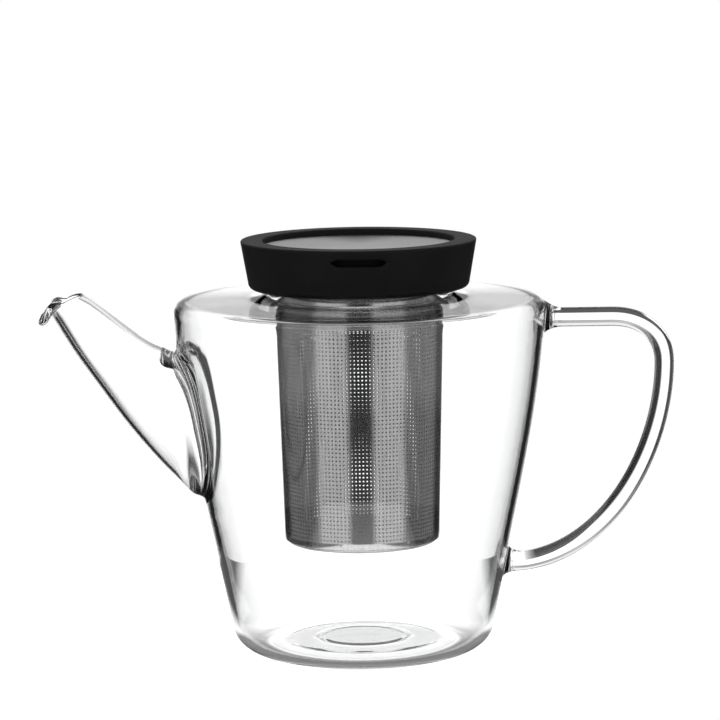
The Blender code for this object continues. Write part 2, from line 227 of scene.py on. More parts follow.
class Skin:
    """Collects the vertices and faces of one closed skin."""

    def __init__(self) -> None:
        """Starts an empty skin."""
        self.points: list[Array] = []
        self.faces: list[tuple[int, ...]] = []
        self.count = 0

    def add(self, points: Array) -> Array:
        """Adds vertices."""
        flat = np.asarray(points, float).reshape(-1, 3)
        self.points.append(flat)
        self.count += len(flat)
        return np.arange(self.count - len(flat), self.count).reshape(points.shape[:-1])

    def weave(self, grid: Array, skip: set[tuple[int, int]] | None = None) -> None:
        """Adds the quads between the rows of a grid whose rows are closed rings.

        Args:
            grid: vertex indices as (row, place on the ring).
            skip: (row, place) of each quad to leave open.
        """
        onward = np.roll(grid, -1, axis=1)
        quads = np.stack([grid[:-1], onward[:-1], onward[1:], grid[1:]], -1)
        if skip:
            keep = np.ones(quads.shape[:2], bool)
            for row, place in skip:
                keep[row, place] = False
            quads = quads[keep]
        self.fill(quads)

    def fill(self, corners: Array) -> None:
        """Adds faces, with the corners of each on the last axis."""
        self.faces.extend(map(tuple, corners.reshape(-1, corners.shape[-1]).tolist()))

    def cap(self, ring: Array, centre: Array) -> None:
        """Closes a ring with a fan of triangles."""
        middle = int(self.add(centre.reshape(1, 3))[0])
        for here, onward in zip(ring.tolist(), np.roll(ring, -1).tolist()):
            self.faces.append((here, onward, middle))

    def turn(self, line: Array, segments: int, skip: set[tuple[int, int]] | None = None) -> Array:
        """Turns a line about the Z axis.

        Args:
            line: (radius, height) points, either from axis to axis or a closed loop clear of it.
            segments: how many parts the turn has.
            skip: (row, place) of each quad to leave open.

        Returns:
            The indices of the vertices off the axis, as (row, place on the ring).
        """
        angles = np.linspace(0.0, math.tau, segments, endpoint=False)
        on_axis = line[:, 0] < 1e-9
        radii = line[~on_axis, 0][:, None]
        heights = np.repeat(line[~on_axis, 1][:, None], segments, axis=1)
        grid = self.add(polar(radii, angles, heights))
        if not on_axis.any():
            self.weave(np.concatenate([grid, grid[:1]]), skip)
            return grid
        self.weave(grid, skip)
        self.cap(grid[0], np.array([0.0, 0.0, line[0, 1]]))
        self.cap(grid[-1], np.array([0.0, 0.0, line[-1, 1]]))
        return grid

    def build(self, name: str, finish: Finish, crease: float | None = None) -> Piece:
        """Makes the object, with its faces turned outwards and shaded smooth.

        Args:
            name: the object's name.
            finish: its material.
            crease: the angle in degrees past which an edge stays sharp; without it none does.

        Returns:
            The object, linked to the scene.
        """
        mesh = bpy.data.meshes.new(name)
        mesh.from_pydata(np.concatenate(self.points).tolist(), [], self.faces)
        mesh.update()
        shape = bmesh.new()
        shape.from_mesh(mesh)
        bmesh.ops.recalc_face_normals(shape, faces=shape.faces)
        shape.to_mesh(mesh)
        shape.free()
        mesh.shade_smooth()
        if crease is not None:
            mesh.set_sharp_from_angle(angle=math.radians(crease))
        mesh.materials.append(finish)
        made = bpy.data.objects.new(name, mesh)
        bpy.context.scene.collection.objects.link(made)
        return made


def turned(
    name: str, finish: Finish, segments: int, corners: list[tuple], closed: bool = False
) -> Piece:
    """Makes a piece turned from the rounded outline through (radius, height, corner radius) corners."""
    skin = Skin()
    skin.turn(rounded(corners, closed), segments)
    return skin.build(name, finish)


def block_edge(columns: int, rows: int) -> list[tuple[int, int]]:
    """Steps round the edge of a block of grid cells, counter-clockwise from the middle of its right side."""
    wide, high = columns // 2, rows // 2
    steps = [(wide, row) for row in range(0, high)]
    steps += [(column, high) for column in range(wide, -wide, -1)]
    steps += [(-wide, row) for row in range(high, -high, -1)]
    steps += [(column, -high) for column in range(-wide, wide)]
    steps += [(wide, row) for row in range(-high, 0)]
    return steps


@dataclass
class TurnedWall:
    """A turned surface in which blocks of cells are opened, so that a hole's edge can run into the grid.

    Attributes:
        fine: the line's points, with `fineness` of them for each cell.
        fineness: how many fine points there are for each cell.
        segments: how many cells there are round the axis.
    """

    fine: Array
    fineness: int
    segments: int

    def __post_init__(self) -> None:
        """Measures the line."""
        self.run = walked(self.fine)
        self.line = self.fine[:: self.fineness]
        self.row_run = self.run[:: self.fineness]

    def at(self, places: Array) -> Array:
        """The points at (angle about the axis, distance along the line)."""
        radius = np.interp(places[..., 1], self.run, self.fine[:, 0])
        height = np.interp(places[..., 1], self.run, self.fine[:, 1])
        return polar(radius, places[..., 0], height)

    def row_near(self, height: float, rows: slice) -> int:
        """The row of a stretch whose height is nearest."""
        return rows.start + int(np.argmin(np.abs(self.line[rows, 1] - height)))

    def around(self, rows: slice, facing: float, across: Array, height: Array) -> Array:
        """(angle, distance along the line) of places on a stretch.

        Args:
            rows: the rows of the stretch.
            facing: the angle about the axis that widths are measured from.
            across: how far sideways each place is.
            height: how high each place is.

        Returns:
            The places, with angle and distance on the last axis.
        """
        line = self.line[rows]
        order = np.argsort(line[:, 1])
        run = np.interp(height, line[order, 1], self.row_run[rows][order])
        radius = np.interp(height, line[order, 1], line[order, 0])
        return np.stack([facing + np.arcsin(across / radius), run], -1)

    def turn(self, skin: Skin, *blocks: tuple) -> list[Array]:
        """Turns the wall with blocks left open.

        Args:
            skin: the skin that the wall goes into.
            blocks: the edge of each block.

        Returns:
            The vertex indices round each block.
        """
        # The first row of the line is on the axis, so the turned grid starts at its second.
        skip = {(row - 1, place) for block in blocks for row, place in block[2]}
        grid = skin.turn(self.line, self.segments, skip)
        return [np.array([grid[row - 1, place] for row, place in block[0]]) for block in blocks]

    def edge(self, column: int, row: int, columns: int, rows: int, sense: int) -> tuple:
        """The edge of a block.

        Args:
            column: the column of the block's middle.
            row: the row of its middle.
            columns: its width in cells.
            rows: its height in cells.
            sense: 1 if the loop's upward side is towards later rows, else -1.

        Returns:
            The grid places (row, column) round the edge, their (angle, distance), and the cells inside.
        """
        steps = block_edge(columns, rows)
        places = [(row + sense * r, (column + c) % self.segments) for c, r in steps]
        step = math.tau / self.segments
        flat = np.array([((column + c) * step, self.row_run[row + sense * r]) for c, r in steps])
        inside = {
            (row + r, (column + c) % self.segments)
            for r in range(-rows // 2, rows // 2)
            for c in range(-columns // 2, columns // 2)
        }
        return places, flat, inside

    def ease(self, flat: Array, hole: Array, rings: int) -> Array:
        """Rings on the surface from a block's edge to a hole's edge."""
        share = (np.arange(1, rings + 1) / rings)[:, None, None]
        return self.at(flat * (1 - share) + hole * share)


# ---- finishes


class Graph:
    """A material's node tree, built a node at a time."""

    def __init__(self, name: str) -> None:
        """Starts a material with a Principled shader."""
        self.material = bpy.data.materials.new(name)
        self.material.use_nodes = True
        self.tree = self.material.node_tree
        self.shader = self.tree.nodes["Principled BSDF"]
        self.output = self.tree.nodes["Material Output"]

    def node(self, kind: str, settings: dict | None = None, **inputs: object) -> bpy.types.Node:
        """Adds a node."""
        made = self.tree.nodes.new(kind)
        for name, value in (settings or {}).items():
            setattr(made, name, value)
        for name, value in inputs.items():
            self.set(made, name.replace("_", " "), value)
        return made

    def set(self, node: bpy.types.Node, name: str | int, value: object) -> None:
        """Sets an input to a value, or links a socket to it."""
        if isinstance(value, Socket):
            self.tree.links.new(value, node.inputs[name])
        else:
            node.inputs[name].default_value = value

    def principled(self, **inputs: object) -> None:
        """Sets inputs of the Principled shader, with _ for a space in a name."""
        for name, value in inputs.items():
            self.set(self.shader, name.replace("_", " "), value)

    def math(self, operation: str, *values: object) -> Socket:
        """A Math node's result."""
        made = self.node("ShaderNodeMath", {"operation": operation})
        for i, value in enumerate(values):
            self.set(made, i, value)
        return made.outputs[0]

    def place(self) -> Socket:
        """The surface's place in the piece's own frame."""
        return self.node("ShaderNodeTexCoord").outputs["Object"]

    def stretched(self, scale: tuple[float, float, float]) -> Socket:
        """The surface's place, scaled along each axis."""
        made = self.node("ShaderNodeMapping", Vector=self.place())
        made.inputs["Scale"].default_value = scale
        return made.outputs["Vector"]

    def noise(self, vector: object, scale: float, detail: float = 3.0, rough: float = 0.5) -> Socket:
        """A noise texture's strength."""
        made = self.node("ShaderNodeTexNoise", Vector=vector, Scale=scale, Detail=detail, Roughness=rough)
        return made.outputs["Fac"]

    def span(self, value: object, low: float, high: float, start: float = 0.0, end: float = 1.0) -> object:
        """A value mapped from start..end to low..high."""
        made = self.node("ShaderNodeMapRange", Value=value)
        for name, number in (("From Min", start), ("From Max", end), ("To Min", low), ("To Max", high)):
            made.inputs[name].default_value = number
        return made.outputs["Result"]

    def ramp(self, value: object, *stops: tuple[float, tuple[float, float, float]]) -> Socket:
        """A colour that depends on a value.

        Args:
            value: the socket that drives it.
            stops: (value, colour) of each stop.

        Returns:
            The colour socket.
        """
        made = self.node("ShaderNodeValToRGB", Fac=value)
        stop_list = made.color_ramp.elements
        while len(stop_list) < len(stops):
            stop_list.new(0.5)
        for element, (place, color) in zip(stop_list, stops):
            element.position = place
            element.color = (*color, 1.0)
        return made.outputs["Color"]

    def bump(self, height: object, strength: float, distance: float, onto: object = None) -> Socket:
        """A normal bent by a height."""
        made = self.node("ShaderNodeBump", Height=height, Strength=strength, Distance=distance)
        if onto is not None:
            self.set(made, "Normal", onto)
        return made.outputs["Normal"]


def grey(level: float) -> tuple[float, float, float]:
    """A neutral colour."""
    return (level, level, level)


@dataclass(frozen=True)
class BlownGlass:
    """Clear borosilicate glass with the faint waves of hand blowing."""

    ior: float = 1.473
    wave: float = 0.05 * MM
    wave_scale: float = 28.0

    def build(self) -> Finish:
        """Makes the material."""
        graph = Graph("borosilicate_glass")
        waves = graph.noise(graph.stretched((1.0, 1.0, 0.6)), self.wave_scale, detail=1.0)
        fine = graph.noise(graph.place(), 90.0, detail=2.0)
        tint = graph.ramp(fine, (0.0, (0.985, 0.990, 0.988)), (1.0, (0.995, 0.998, 0.997)))
        graph.principled(
            Base_Color=tint,
            Roughness=graph.span(fine, 0.0, 0.012, 0.45, 0.75),
            IOR=self.ior,
            Transmission_Weight=1.0,
            Normal=graph.bump(waves, 0.35, self.wave),
        )
        return graph.material


@dataclass(frozen=True)
class DrilledSteel:
    """Rolled stainless sheet with fine rolling marks along the height."""

    base: float = 0.56
    roughness: float = 0.15

    def build(self) -> Finish:
        """Makes the material."""
        graph = Graph("strainer_steel")
        marks = graph.noise(graph.stretched((1.0, 1.0, 0.05)), 2600.0, detail=2.0, rough=0.6)
        clouds = graph.noise(graph.place(), 60.0, detail=2.0)
        color = graph.ramp(marks, (0.2, grey(self.base * 0.86)), (0.8, grey(self.base * 1.08)))
        uneven = graph.math("ADD", graph.span(marks, -0.03, 0.03), graph.span(clouds, -0.02, 0.03))
        graph.principled(
            Base_Color=color,
            Metallic=1.0,
            Roughness=graph.math("ADD", uneven, self.roughness),
            Normal=graph.bump(marks, 0.08, 0.03 * MM),
        )
        return graph.material


@dataclass(frozen=True)
class BrushedDisc:
    """Stainless steel brushed in circles round the disc's middle."""

    base: float = 0.56
    roughness: float = 0.30
    anisotropy: float = 0.75

    def build(self) -> Finish:
        """Makes the material."""
        graph = Graph("brushed_steel")
        parts = graph.node("ShaderNodeSeparateXYZ", Vector=graph.place())
        squares = [graph.math("MULTIPLY", parts.outputs[i], parts.outputs[i]) for i in (0, 1)]
        radius = graph.math("SQRT", graph.math("ADD", *squares))
        turn = graph.math("ARCTAN2", parts.outputs[1], parts.outputs[0])
        along = graph.node("ShaderNodeCombineXYZ", X=radius, Y=graph.math("MULTIPLY", turn, 0.0006))
        rings = graph.noise(along.outputs[0], 5200.0, detail=3.0, rough=0.65)
        broad = graph.noise(along.outputs[0], 700.0, detail=1.0)
        color = graph.ramp(rings, (0.25, grey(self.base * 0.80)), (0.75, grey(self.base * 1.12)))
        uneven = graph.math("ADD", graph.span(rings, -0.06, 0.06), graph.span(broad, -0.03, 0.03))
        tangent = graph.node("ShaderNodeTangent", {"direction_type": "RADIAL", "axis": "Z"})
        graph.principled(
            Base_Color=color,
            Metallic=1.0,
            Roughness=graph.math("ADD", uneven, self.roughness),
            Anisotropic=self.anisotropy,
            Tangent=tangent.outputs[0],
            Normal=graph.bump(rings, 0.10, 0.02 * MM),
        )
        return graph.material


@dataclass(frozen=True)
class MouldedBlack:
    """Black moulded plastic with a fine eroded grain."""

    dark: float = 0.0045
    light: float = 0.0085
    roughness: float = 0.58

    def build(self) -> Finish:
        """Makes the material."""
        graph = Graph("black_lid")
        grain = graph.noise(graph.place(), 5200.0, detail=2.0)
        clouds = graph.noise(graph.place(), 45.0, detail=3.0)
        graph.principled(
            Base_Color=graph.ramp(clouds, (0.3, grey(self.dark)), (0.7, grey(self.light))),
            Roughness=graph.math("ADD", graph.span(clouds, -0.04, 0.05), self.roughness),
            Specular_IOR_Level=0.2,
            Normal=graph.bump(grain, 0.22, 0.05 * MM),
        )
        return graph.material


@dataclass(frozen=True)
class Silicone:
    """Matte grey silicone."""

    dark: float = 0.26
    light: float = 0.33

    def build(self) -> Finish:
        """Makes the material."""
        graph = Graph("silicone")
        clouds = graph.noise(graph.place(), 300.0, detail=3.0)
        graph.principled(
            Base_Color=graph.ramp(clouds, (0.3, grey(self.dark)), (0.7, grey(self.light))),
            Roughness=graph.span(clouds, 0.5, 0.65),
            Normal=graph.bump(clouds, 0.1, 0.05 * MM),
        )
        return graph.material


def settle(piece: Piece, body: Body, slot: Slot, *nodes: str) -> None:
    """Puts a finished piece on its body, in place of CAD nodes."""
    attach(piece, body.value)
    if nodes:
        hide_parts(*nodes)
    LOG.info("%s: %d faces on %s", piece.name, len(piece.data.polygons), body.value)


# ---- the glass pot


class Stretch(Enum):
    """The stretches of the pot's outline that welds are made on, by their place along it."""

    WALL = 2
    SHOULDER_TURN = 3
    INNER_WALL = 12


@dataclass(frozen=True)
class Egg:
    """An egg-shaped edge on the wall, broad at its top.

    Attributes:
        middle: the height of its middle.
        half_height: half its height.
        half_width: its half width at the middle.
        shoulder: how much wider it is near its top.
    """

    middle: float
    half_height: float
    half_width: float
    shoulder: float

    def on(self, wall: TurnedWall, rows: slice, count: int, facing: float) -> Array:
        """The egg's edge on a turned wall.

        Args:
            wall: the wall.
            rows: the rows of the wall's stretch that holds it.
            count: how many points it has.
            facing: the angle about the axis of its middle.

        Returns:
            (angle, distance along the wall's line) of each point.
        """
        turn = circle(count)
        height = self.middle + self.half_height * np.sin(turn)
        across = np.cos(turn) * (self.half_width + self.shoulder * np.maximum(np.sin(turn), 0.0) ** 2)
        return wall.around(rows, facing, across, height)


@dataclass
class GlassPot:
    """The blown pot with its spout and its handle welded on, as one clear skin."""

    segments: int = 192
    fineness: int = 8
    wall: float = 2.3 * MM
    foot_radius: float = 10.8 * MM
    foot_ring: float = 35.75 * MM
    foot_angle: float = -9.65
    punt_rise: float = 1.8 * MM
    punt_step: float = 0.6 * MM
    # radii that the punt's step and its slope run between
    punt_step_at: tuple = (14.8 * MM, 17.2 * MM)
    punt_slope_at: tuple = (26.0 * MM, 32.5 * MM)
    wall_pulls: tuple = (
        (46.4 * MM, 9.0 * MM), (52.9 * MM, 47.2 * MM), (62.8 * MM, 80.1 * MM), (65.0 * MM, 120.4 * MM),
    )
    shoulder_turn: float = 3.4 * MM
    shoulder_glass: float = 1.6 * MM
    neck_foot: float = 124.6 * MM
    neck_root: float = 3.2 * MM
    neck_spread: float = 6.5 * MM
    neck_outer: float = 32.0 * MM
    neck_inner: float = 29.8 * MM
    neck_top: float = 129.0 * MM
    throat: float = 3.0 * MM
    inner_turn: float = 2.1 * MM
    spout_wall: float = 1.3 * MM
    blob: float = 3.6 * MM
    spout_rings: int = 34
    # (upper edge x, z), (lower edge x, z), half width, breadth of the top
    spout_stations: tuple = (
        ((-66.0, 105.9), (-59.6, 56.4), 26.4, 0.38),
        ((-73.5, 109.5), (-70.0, 66.9), 20.0, 0.22),
        ((-81.2, 115.3), (-81.2, 80.3), 15.2, 0.12),
        ((-88.8, 121.3), (-91.5, 94.6), 11.3, 0.03),
        ((-93.2, 124.5), (-100.2, 107.2), 8.6, 0.0),
        ((-95.6, 126.1), (-107.3, 119.1), 7.2, 0.0),
    )
    spout_height: float = 82.2 * MM
    spout_cells: tuple = (36, 32)
    weld: Egg = Egg(82.3 * MM, 28.9 * MM, 28.4 * MM, 14.0 * MM)
    seam: Egg = Egg(80.8 * MM, 24.4 * MM, 25.2 * MM, 11.0 * MM)
    opening: Egg = Egg(83.5 * MM, 19.0 * MM, 12.0 * MM, 0.0)
    lip_curl: float = 1.15 * MM
    lip_bead: float = 2.7 * MM
    lip_bend: float = 150.0
    rod_radius: float = 3.4 * MM
    # (height, radius) of each of the handle's welds
    upper_weld: tuple = (116.4 * MM, 6.6 * MM)
    lower_weld: tuple = (29.6 * MM, 6.3 * MM)
    upper_weld_drop: int = 6
    upper_weld_cells: tuple = (10, 12)
    lower_weld_cells: tuple = (12, 10)

    def outline(self) -> tuple[Array, dict[Stretch, slice]]:
        """The turned outline.

        Returns:
            The fine points, and the rows of each stretch.
        """
        fine = self.fineness
        reach = np.interp(np.linspace(0, 22 * fine, 22 * fine + 1), *zip(
            (0, 0.0), (5 * fine, 13.5 * MM), (9 * fine, 18.5 * MM), (12 * fine, 25.5 * MM),
            (19 * fine, 33.0 * MM), (22 * fine, self.foot_ring),
        ))
        rise = self.punt_rise - self.punt_step * smooth_step(*self.punt_step_at, reach)
        rise = rise * (1 - smooth_step(*self.punt_slope_at, reach))
        underside = np.stack([reach, rise], -1)
        foot_middle = (self.foot_ring, self.foot_radius)
        foot = arc(foot_middle, self.foot_radius, -90, self.foot_angle, 12 * fine)
        wall = bezier(self.wall_pulls, 56 * fine)
        along = unit(np.gradient(wall, axis=0))
        inner = wall + self.wall * np.stack([-along[:, 1], along[:, 0]], -1)
        top_x, top_z = self.wall_pulls[3]
        turn = arc((top_x - self.shoulder_turn, top_z), self.shoulder_turn, 0, 87, 6 * fine)
        root_size = np.array([self.neck_spread, self.neck_root])
        root = np.array([self.neck_outer, self.neck_foot]) + root_size
        root = root + arc((0.0, 0.0), 1.0, -90, -180, 5 * fine) * root_size
        lip_radius = (self.neck_outer - self.neck_inner) / 2
        lip = arc((self.neck_inner + lip_radius, self.neck_top - lip_radius), lip_radius, 0, 180, 8 * fine)
        under = self.neck_foot - self.shoulder_glass
        throat = arc((self.neck_inner + self.throat, under + self.throat), self.throat, 180, 270, 5 * fine)
        inner_top = top_z + self.shoulder_turn - self.shoulder_glass
        turn_in = self.inner_turn
        corner = arc((inner[-1, 0] - turn_in, inner_top - turn_in), turn_in, 90, 0, 4 * fine)
        floor_corner = arc(foot_middle, self.foot_radius - self.wall, self.foot_angle, -90, 10 * fine)
        floor = underside[::-1] + np.array([0.0, self.wall])
        inner_run = inner[fine:-fine][::-1]
        onto_floor = straight(inner_run[-1], floor_corner[0], fine)
        inner_run = chain(straight(corner[-1], inner_run[0], fine), inner_run, onto_floor)
        lines = (
            underside, foot, chain_to(foot, wall), turn, straight(turn[-1], root[0], 14 * fine), root,
            straight(root[-1], lip[0], fine), lip, straight(lip[-1], throat[0], 2 * fine), throat,
            straight(throat[-1], corner[0], 14 * fine), corner, inner_run, floor_corner,
            chain_to(floor_corner, floor),
        )
        rows = rows_of(lines, fine)
        return chain(*lines), {stretch: rows[stretch.value] for stretch in Stretch}

    def spout_skin(self, count: int) -> tuple[Array, Array]:
        """The spout's outside.

        Args:
            count: how many points a ring has.

        Returns:
            Its rings from the weld to the mouth, and the outward normals.
        """
        turn = circle(count)
        stations = []
        last = len(self.spout_stations) - 1
        for i, (upper, lower, half_width, breadth) in enumerate(self.spout_stations):
            upper = np.array([upper[0], 0.0, upper[1]]) * MM
            lower = np.array([lower[0], 0.0, lower[1]]) * MM
            wide = half_width * MM * (1 + breadth * np.maximum(np.sin(turn), 0.0) ** 2)
            ring = (upper + lower) / 2 + np.sin(turn)[:, None] * (upper - lower) / 2
            ring[:, 1] = -np.cos(turn) * wide
            if i == last:
                ring += np.cos(turn)[:, None] ** 2 * np.array([-0.35 * MM, 0.0, 1.1 * MM])
            stations.append(ring)
        rings = through(np.array(stations), self.spout_rings)
        around = np.roll(rings, -1, axis=1) - np.roll(rings, 1, axis=1)
        normal = unit(np.cross(around, np.gradient(rings, axis=0)))
        outwards = np.sign((normal * (rings - rings.mean(axis=1, keepdims=True))).sum(axis=-1, keepdims=True))
        return rings, normal * outwards

    def lip_skin(self, edge: Array, normal: Array, along: Array) -> Array:
        """The mouth's rim, which curls out and down into a bead on the pouring side.

        Args:
            edge: the last ring of the spout's outside.
            normal: its outward normals.
            along: the direction of the spout's outside there.

        Returns:
            Rings from the outside, over the rim, to the inside.
        """
        turn = circle(len(edge))
        pour = smooth_step(0.05, 0.85, -np.sin(turn))[:, None]
        along = unit(along - (along * normal).sum(axis=-1, keepdims=True) * normal)
        curl, bead = self.lip_curl, self.lip_bead
        bend = math.radians(self.lip_bend) * pour
        total = curl * bend + 0.6 * MM + 0.9 * MM * pour
        centre = edge + normal * curl
        outside, inside = [], []
        steps = 12
        for step in range(1, steps + 1):
            share = step / steps
            travel = total * step / steps
            angle = np.minimum(travel / curl, bend)
            extra = np.maximum(travel - curl * bend, 0.0)
            heading = normal * np.sin(angle) + along * np.cos(angle)
            spoke = along * np.sin(angle) - normal * np.cos(angle)
            thick = self.spout_wall + (bead - self.spout_wall) * pour * smooth_step(0.2, 1.0, share)
            outside.append(centre + curl * spoke + heading * extra)
            inside.append(centre + (curl + thick) * spoke + heading * extra)
        middle = (outside[-1] + inside[-1]) / 2
        half = (inside[-1] - outside[-1]) / 2
        depth = length(half)
        end = [
            middle - half * math.cos(angle) + heading * depth * math.sin(angle)
            for angle in np.linspace(0, math.pi, 9)[1:-1]
        ]
        return np.array(outside + end + inside[::-1])

    def rod_line(self) -> Array:
        """The handle's middle line in the (x, z) plane, from the upper to the lower weld."""
        upper = np.array([70.5, 116.2]) * MM
        run = np.array([88.3, 116.2]) * MM
        outer = np.array([106.5, 100.2]) * MM
        lower = np.array([58.0, 29.8]) * MM
        corner = np.array([11.1, 0.0]) * MM
        above = np.array([0.0, 9.5]) * MM
        below = np.array([0.0, 28.9]) * MM
        pull = np.array([89.0, 34.8]) * MM
        return chain(
            straight(upper, run, 9),
            bezier((run, run + corner, outer + above, outer), 16),
            bezier((outer, outer - below, pull, lower), 46),
        )

    def rod_skin(self, count: int) -> Array:
        """The handle's rod between its two welds.

        Args:
            count: how many points a ring has.

        Returns:
            Its rings.
        """
        line = self.rod_line()
        heading = unit(np.gradient(line, axis=0))
        turn = circle(count)
        middle = np.stack([line[:, 0], np.zeros(len(line)), line[:, 1]], -1)[:, None, :]
        across = np.array([0.0, 1.0, 0.0])
        upward = np.stack([-heading[:, 1], np.zeros(len(line)), heading[:, 0]], -1)[:, None, :]
        return middle + self.rod_radius * (
            np.cos(turn)[None, :, None] * across + np.sin(turn)[None, :, None] * upward
        )

    def build(self, finish: Finish) -> Piece:
        """Makes the pot.

        Args:
            finish: the glass.

        Returns:
            The pot's object.
        """
        fine, rows = self.outline()
        wall = TurnedWall(fine, self.fineness, self.segments)
        outer, inner = rows[Stretch.WALL], rows[Stretch.INNER_WALL]
        spout_side = self.segments // 2
        upper_row = rows[Stretch.SHOULDER_TURN].stop - 1 - self.upper_weld_drop
        blocks = (
            wall.edge(spout_side, wall.row_near(self.spout_height, outer), *self.spout_cells, 1),
            wall.edge(spout_side, wall.row_near(self.spout_height, inner), *self.spout_cells, -1),
            wall.edge(0, upper_row, *self.upper_weld_cells, 1),
            wall.edge(0, wall.row_near(self.lower_weld[0], outer), *self.lower_weld_cells, -1),
        )
        skin = Skin()
        edges = list(zip(blocks, wall.turn(skin, *blocks)))
        self.weld_spout(skin, wall, rows, *edges[:2])
        self.weld_handle(skin, wall, rows, *edges[2:])
        return skin.build("pot_glass", finish)

    def weld_spout(self, skin: Skin, wall: TurnedWall, rows: dict, outer: tuple, inner: tuple) -> None:
        """Adds the spout, from the wall's outside over the mouth to the wall's inside.

        Args:
            skin: the pot's skin.
            wall: the turned wall.
            rows: the rows of each stretch of the outline.
            outer: the outer block and the vertices round it.
            inner: the inner block and the vertices round it.
        """
        count = len(outer[1])
        eggs = (self.weld, self.seam, self.opening)
        weld, seam, opening = (egg.on(wall, rows[Stretch.WALL], count, math.pi) for egg in eggs)
        inner_opening = self.opening.on(wall, rows[Stretch.INNER_WALL], count, math.pi)
        outer_rings = wall.ease(outer[0][1], weld, 3)
        inner_rings = wall.ease(inner[0][1], inner_opening, 12)
        landing = wall.ease(seam, opening, 9)
        spout, normal = self.spout_skin(count)
        bore = spout - normal * self.spout_wall
        outer_pull = unit(outer_rings[-1] - outer_rings[-2])
        first_heading = unit(spout[1] - spout[0])
        gap = length(spout[0] - outer_rings[-1])
        fillet = hermite(outer_rings[-1], outer_pull * gap * 1.1, spout[0], first_heading * gap * 1.1, 7)
        start = 2
        seam_ring = wall.at(seam)
        bore_heading = unit(bore[start] - bore[start + 1])
        gap = length(bore[start] - seam_ring)
        turn_back = hermite(
            bore[start], bore_heading * gap * 0.8, seam_ring, unit(landing[0] - seam_ring) * gap * 0.8, 12
        )
        top = smooth_step(0.84, 1.0, np.sin(circle(count)))[None, :, None]
        swell = np.sqrt(np.sin(np.linspace(0.0, math.pi, 13))[1:-1, None, None])
        turn_back = turn_back + self.blob * top * swell * np.array([-0.75, 0.0, -0.66])
        edge = wall.at(opening)
        far_edge = wall.at(inner_opening)
        through_wall = [edge * (1 - share) + far_edge * share for share in (0.12, 0.5, 0.88)]
        rim = self.lip_skin(spout[-1], normal[-1], unit(spout[-1] - spout[-2]))
        rings = np.concatenate([
            outer_rings, fillet, spout, rim, bore[start:][::-1], turn_back, seam_ring[None], landing,
            np.array(through_wall), inner_rings[::-1],
        ])
        skin.weave(np.concatenate([outer[1][None], skin.add(rings), inner[1][None]]))

    def weld_handle(self, skin: Skin, wall: TurnedWall, rows: dict, upper: tuple, lower: tuple) -> None:
        """Adds the handle, from its upper weld to its lower weld.

        Args:
            skin: the pot's skin.
            wall: the turned wall.
            rows: the rows of each stretch of the outline.
            upper: the upper block and the vertices round it.
            lower: the lower block and the vertices round it.
        """
        count = len(upper[1])
        turn = circle(count)
        stretch = rows[Stretch.WALL]
        line, run = wall.line[stretch], wall.row_run[stretch]

        def weld_edge(height: float, radius: float, sense: int) -> Array:
            """(angle, distance) round a weld at a height on the wall."""
            middle = np.interp(height, line[:, 1], run)
            about = np.interp(height, line[:, 1], line[:, 0])
            return np.stack([np.cos(turn) * radius / about, middle + sense * np.sin(turn) * radius], -1)

        upper_rings = wall.ease(upper[0][1], weld_edge(*self.upper_weld, 1), 3)
        lower_rings = wall.ease(lower[0][1], weld_edge(*self.lower_weld, -1), 3)
        rod = self.rod_skin(count)
        runs = []
        for rings, end, onward in ((upper_rings, rod[0], rod[1]), (lower_rings, rod[-1], rod[-2])):
            gap = length(end - rings[-1])
            pull = unit(rings[-1] - rings[-2]) * gap * 0.9
            runs.append(hermite(rings[-1], pull, end, unit(onward - end) * gap * 0.9, 8))
        rings = np.concatenate([upper_rings, runs[0], rod, runs[1][::-1], lower_rings[::-1]])
        skin.weave(np.concatenate([upper[1][None], skin.add(rings), lower[1][None]]))


# ---- the strainer


